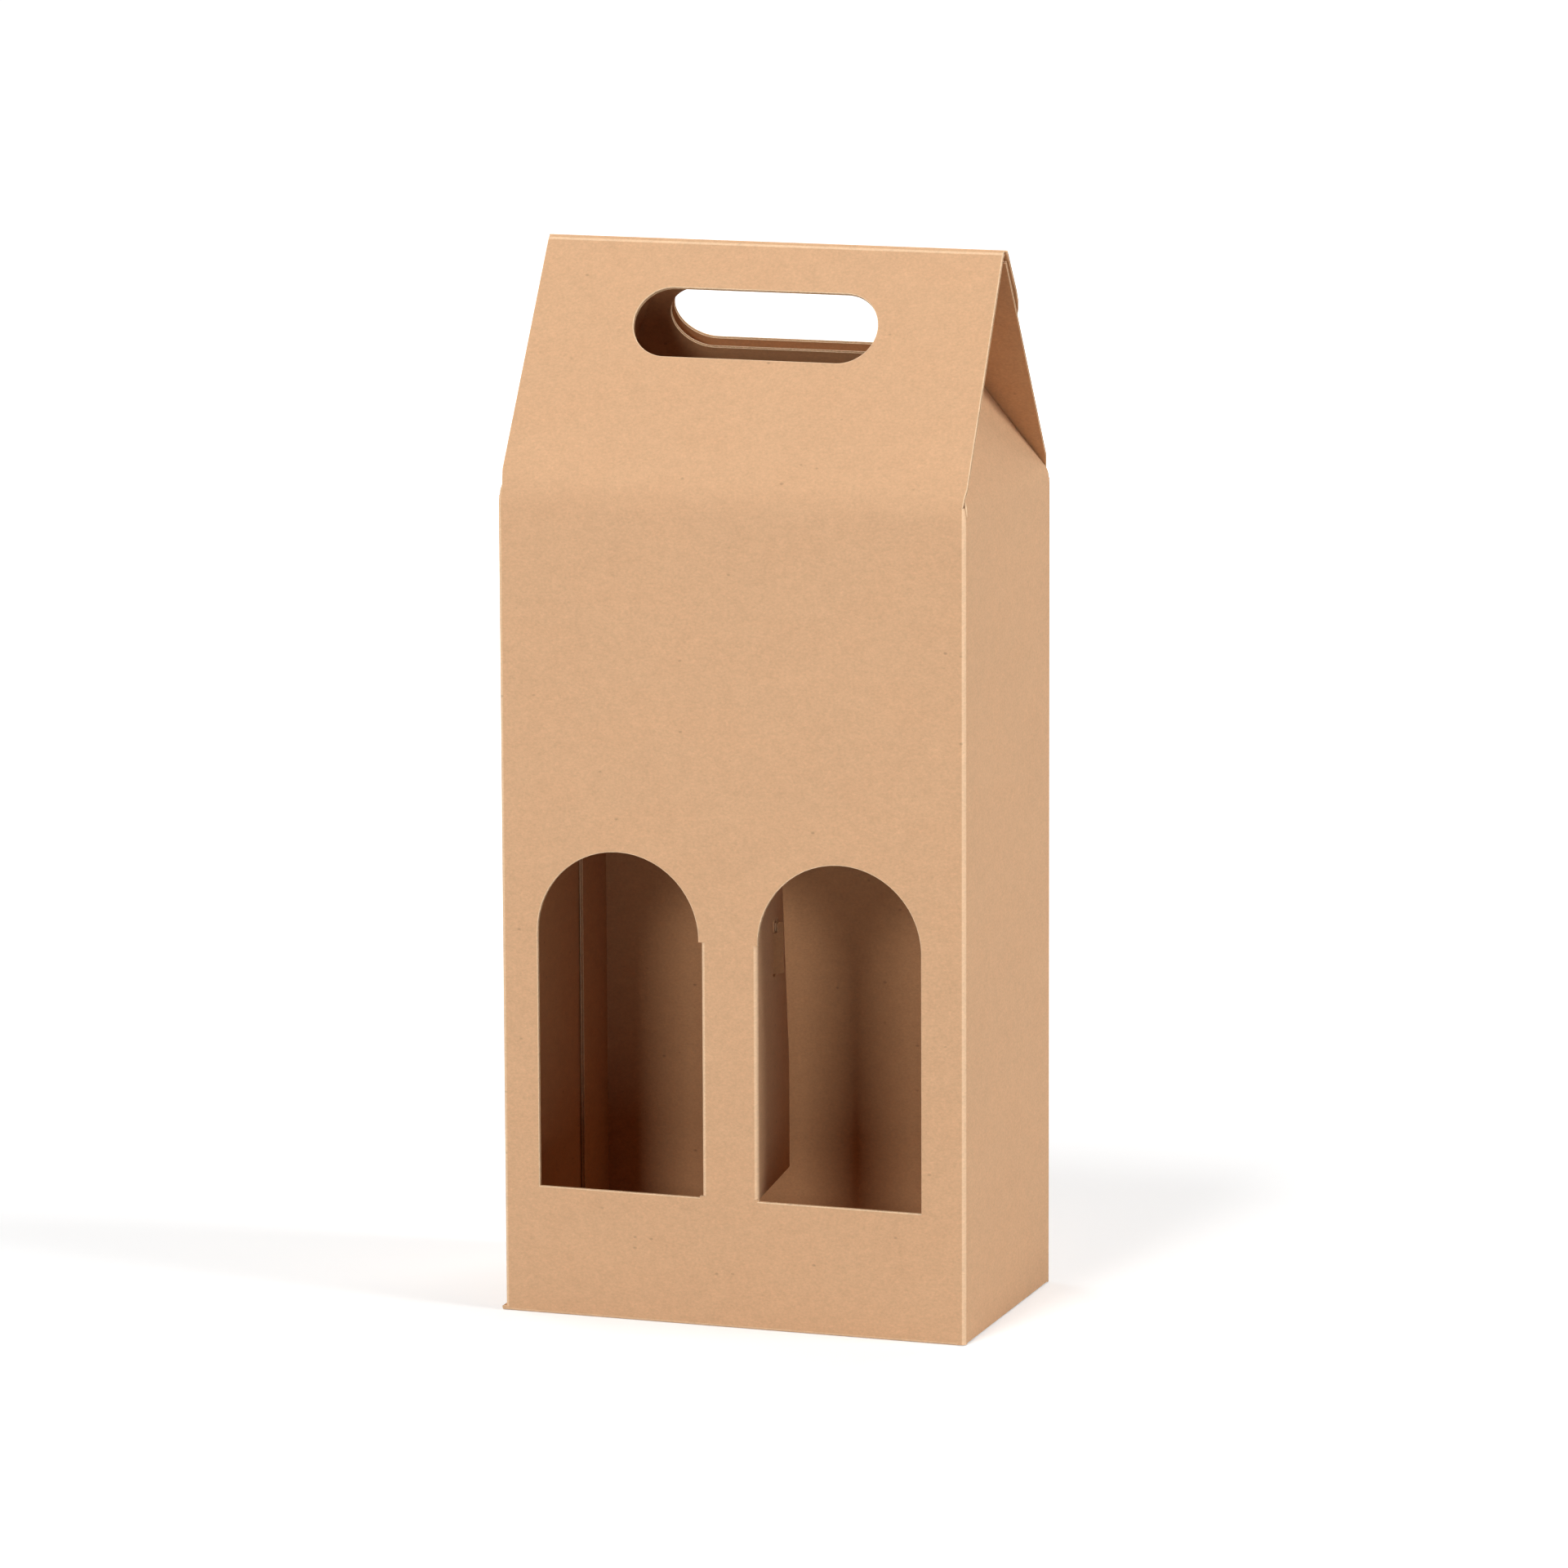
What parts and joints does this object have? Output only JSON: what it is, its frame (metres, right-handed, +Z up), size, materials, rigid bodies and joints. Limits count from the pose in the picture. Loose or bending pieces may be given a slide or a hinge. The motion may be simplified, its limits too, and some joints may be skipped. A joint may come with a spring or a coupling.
{
  "type": "paper bottle bag",
  "caption": "Upright kraft board carrier for bottles with a gable top, a long hand hole, arched front windows and hooked inner dividers.",
  "frame": {"origin": "middle of the base, on the surface the carrier stands on", "axes": "+Z up, +Y to the rear, +X to the right seen from the front, so the windows face -Y"},
  "size_m": [0.1814, 0.105, 0.3979],
  "materials": {
    "kraft_wall": "matte brown kraft liner with short fibres",
    "kraft_inner": "matte inner liner, a little darker"
  },
  "bodies": {
    "carton": {"front_panel": "kraft_wall", "back_panel": "kraft_wall", "left_side_panel": "kraft_wall", "right_side_panel": "kraft_wall", "glue_flap": "kraft_inner", "front_bottom_flap": "kraft_wall", "back_bottom_flap": "kraft_wall", "left_bottom_flap": "kraft_inner", "right_bottom_flap": "kraft_inner", "back_slope_panel": "kraft_wall"},
    "front_slope": {"front_slope_panel": "kraft_wall", "ridge_strip": "kraft_wall"},
    "closing": {"closing_flap": "kraft_wall"},
    "left_shoulder": {"left_shoulder_flap": "kraft_wall"},
    "right_shoulder": {"right_shoulder_flap": "kraft_wall"},
    "left_divider": {"left_divider_flap": "kraft_inner", "divider_lock_tab": "kraft_inner"},
    "right_divider": {"right_divider_flap": "kraft_inner"}
  },
  "joints": [
    {"name": "front_slope_crease", "type": "hinge", "parent": "carton", "child": "front_slope", "pos_m": [0, -0.0525, 0.31], "axis": [1, 0, 0], "range_deg": [0, 45]},
    {"name": "closing_flap_crease", "type": "hinge", "parent": "front_slope", "child": "closing", "pos_m": [0, 0.0012, 0.398], "axis": [1, 0, 0], "range_deg": [0, 114.5]},
    {"name": "left_shoulder_crease", "type": "hinge", "parent": "carton", "child": "left_shoulder", "pos_m": [-0.09, 0, 0.31], "axis": [0, 1, 0], "range_deg": [0, 60]},
    {"name": "right_shoulder_crease", "type": "hinge", "parent": "carton", "child": "right_shoulder", "pos_m": [0.09, 0, 0.31], "axis": [0, -1, 0], "range_deg": [0, 60]},
    {"name": "right_divider_crease", "type": "hinge", "parent": "carton", "child": "right_divider", "pos_m": [0.0101, -0.0525, 0.097], "axis": [0, 0, -1], "range_deg": [0, 97]},
    {"name": "left_divider_crease", "type": "hinge", "parent": "carton", "child": "left_divider", "pos_m": [-0.0129, -0.0525, 0.097], "axis": [0, 0, 1], "range_deg": [0, 120.1]}
  ],
  "couplings": [
    {"joint": "closing_flap_crease", "follows": "front_slope_crease", "ratio": 2.5395},
    {"joint": "left_divider_crease", "follows": "right_divider_crease", "ratio": 1.2371}
  ]
}
